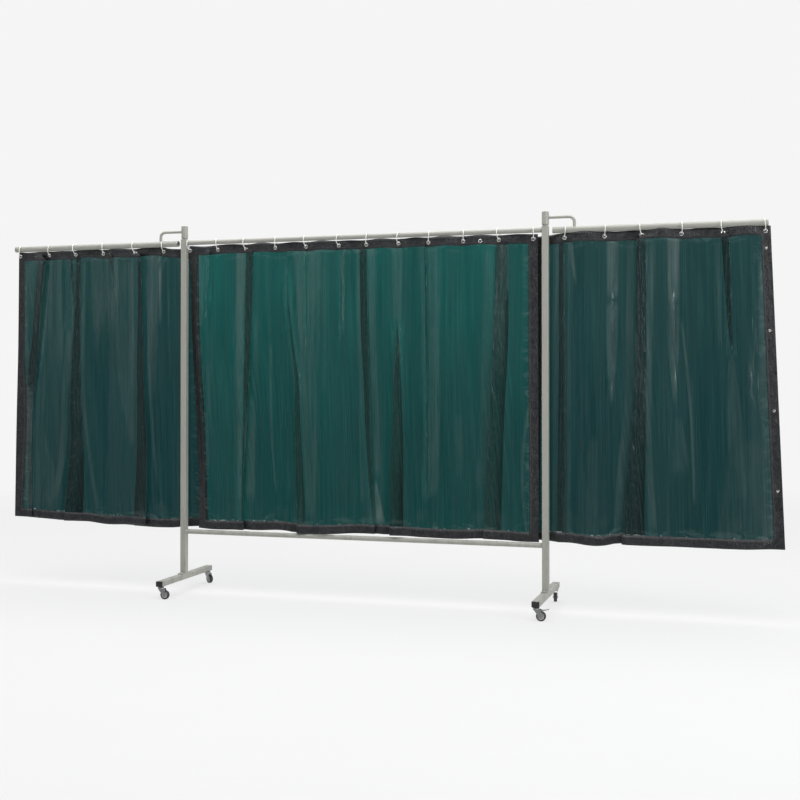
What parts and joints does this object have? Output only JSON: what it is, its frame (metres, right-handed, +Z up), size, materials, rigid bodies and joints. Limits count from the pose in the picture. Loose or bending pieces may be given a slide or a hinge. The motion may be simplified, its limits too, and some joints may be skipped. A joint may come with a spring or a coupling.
{
  "type": "welding curtain screen",
  "caption": "Wheeled tubular screen with swinging side arms and dark green translucent welding curtains hung on rings from open-ended rails.",
  "frame": {"origin": "on the floor, midway between the two post axes", "axes": "+X along the screen towards its right arm seen from the front, -Y the front, +Z up"},
  "size_m": [4.378, 0.625, 2.1],
  "materials": {
    "frame_paint": "satin light grey powder coat",
    "zinc": "bright zinc plate",
    "nickel": "nickel plate",
    "black_steel": "satin black",
    "black_plastic": "matt moulded",
    "grey_plastic": "matt moulded",
    "white_plastic": "gloss moulded",
    "rubber": "matt",
    "green_film": "gloss translucent soft PVC film",
    "black_hem": "satin black film welded over the edge"
  },
  "bodies": {
    "frame": {"left_post": "frame_paint", "right_post": "frame_paint", "left_pivot_pin": "frame_paint", "right_pivot_pin": "frame_paint", "top_rail": "frame_paint", "bottom_rail": "frame_paint", "rail_welds": "frame_paint", "left_foot": "frame_paint", "right_foot": "frame_paint", "left_base_plate": "frame_paint", "right_base_plate": "frame_paint", "base_bolts": "zinc", "foot_end_caps": "black_plastic", "centre_film": "green_film", "centre_hem": "black_hem", "centre_eyelets": "nickel", "centre_rings": "white_plastic", "front_left_castor_stem": "black_steel", "front_right_castor_stem": "black_steel", "back_left_castor_stem": "black_steel", "back_right_castor_stem": "black_steel"},
    "left_arm": {"left_arm_collar": "frame_paint", "left_arm_bush": "black_plastic", "left_arm_rail": "frame_paint", "left_arm_crank": "frame_paint", "left_arm_film": "green_film", "left_arm_hem": "black_hem", "left_arm_eyelets": "nickel", "left_arm_rings": "white_plastic"},
    "right_arm": {"right_arm_collar": "frame_paint", "right_arm_bush": "black_plastic", "right_arm_rail": "frame_paint", "right_arm_crank": "frame_paint", "right_arm_film": "green_film", "right_arm_hem": "black_hem", "right_arm_eyelets": "nickel", "right_arm_rings": "white_plastic", "right_arm_press_studs": "nickel"},
    "front_left_castor": {"front_left_castor_fork": "zinc", "front_left_axle": "zinc"},
    "front_left_wheel": {"front_left_wheel_hub": "grey_plastic", "front_left_wheel_tyre": "rubber"},
    "front_right_castor": {"front_right_castor_fork": "zinc", "front_right_axle": "zinc"},
    "front_right_wheel": {"front_right_wheel_hub": "grey_plastic", "front_right_wheel_tyre": "rubber"},
    "back_left_castor": {"back_left_castor_fork": "zinc", "back_left_axle": "zinc"},
    "back_left_wheel": {"back_left_wheel_hub": "grey_plastic", "back_left_wheel_tyre": "rubber"},
    "back_right_castor": {"back_right_castor_fork": "zinc", "back_right_axle": "zinc"},
    "back_right_wheel": {"back_right_wheel_hub": "grey_plastic", "back_right_wheel_tyre": "rubber"},
    "front_right_pedal": {"front_right_brake_pedal": "zinc"},
    "back_left_pedal": {"back_left_brake_pedal": "zinc"}
  },
  "joints": [
    {"name": "left_arm_swing", "type": "hinge", "parent": "frame", "child": "left_arm", "pos_m": [-1.05, 0, 2.065], "axis": [0, 0, 1], "range_deg": [-110, 110]},
    {"name": "right_arm_swing", "type": "hinge", "parent": "frame", "child": "right_arm", "pos_m": [1.05, 0, 2.065], "axis": [0, 0, 1], "range_deg": [-110, 110]},
    {"name": "front_left_swivel", "type": "hinge", "parent": "frame", "child": "front_left_castor", "pos_m": [-1.05, -0.279, 0.06], "axis": [0, 0, 1], "continuous": true},
    {"name": "front_left_roll", "type": "hinge", "parent": "front_left_castor", "child": "front_left_wheel", "pos_m": [-1.025, -0.279, 0.025], "axis": [0, 1, 0], "continuous": true},
    {"name": "front_right_swivel", "type": "hinge", "parent": "frame", "child": "front_right_castor", "pos_m": [1.05, -0.279, 0.06], "axis": [0, 0, 1], "continuous": true},
    {"name": "front_right_roll", "type": "hinge", "parent": "front_right_castor", "child": "front_right_wheel", "pos_m": [1.075, -0.279, 0.025], "axis": [0, 1, 0], "continuous": true},
    {"name": "back_left_swivel", "type": "hinge", "parent": "frame", "child": "back_left_castor", "pos_m": [-1.05, 0.302, 0.06], "axis": [0, 0, 1], "continuous": true},
    {"name": "back_left_roll", "type": "hinge", "parent": "back_left_castor", "child": "back_left_wheel", "pos_m": [-1.0288, 0.28875, 0.025], "axis": [0.5299, 0.848, 0], "continuous": true},
    {"name": "back_right_swivel", "type": "hinge", "parent": "frame", "child": "back_right_castor", "pos_m": [1.05, 0.302, 0.06], "axis": [0, 0, 1], "continuous": true},
    {"name": "back_right_roll", "type": "hinge", "parent": "back_right_castor", "child": "back_right_wheel", "pos_m": [1.05434, 0.27738, 0.025], "axis": [0.9848, 0.1736, 0], "continuous": true},
    {"name": "front_right_brake", "type": "hinge", "parent": "front_right_castor", "child": "front_right_pedal", "pos_m": [1.071, -0.279, 0.0545], "axis": [0, 1, 0], "range_deg": [0, 8]},
    {"name": "back_left_brake", "type": "hinge", "parent": "back_left_castor", "child": "back_left_pedal", "pos_m": [-1.03219, 0.29087, 0.0545], "axis": [0.5299, 0.848, 0], "range_deg": [0, 8]}
  ]
}
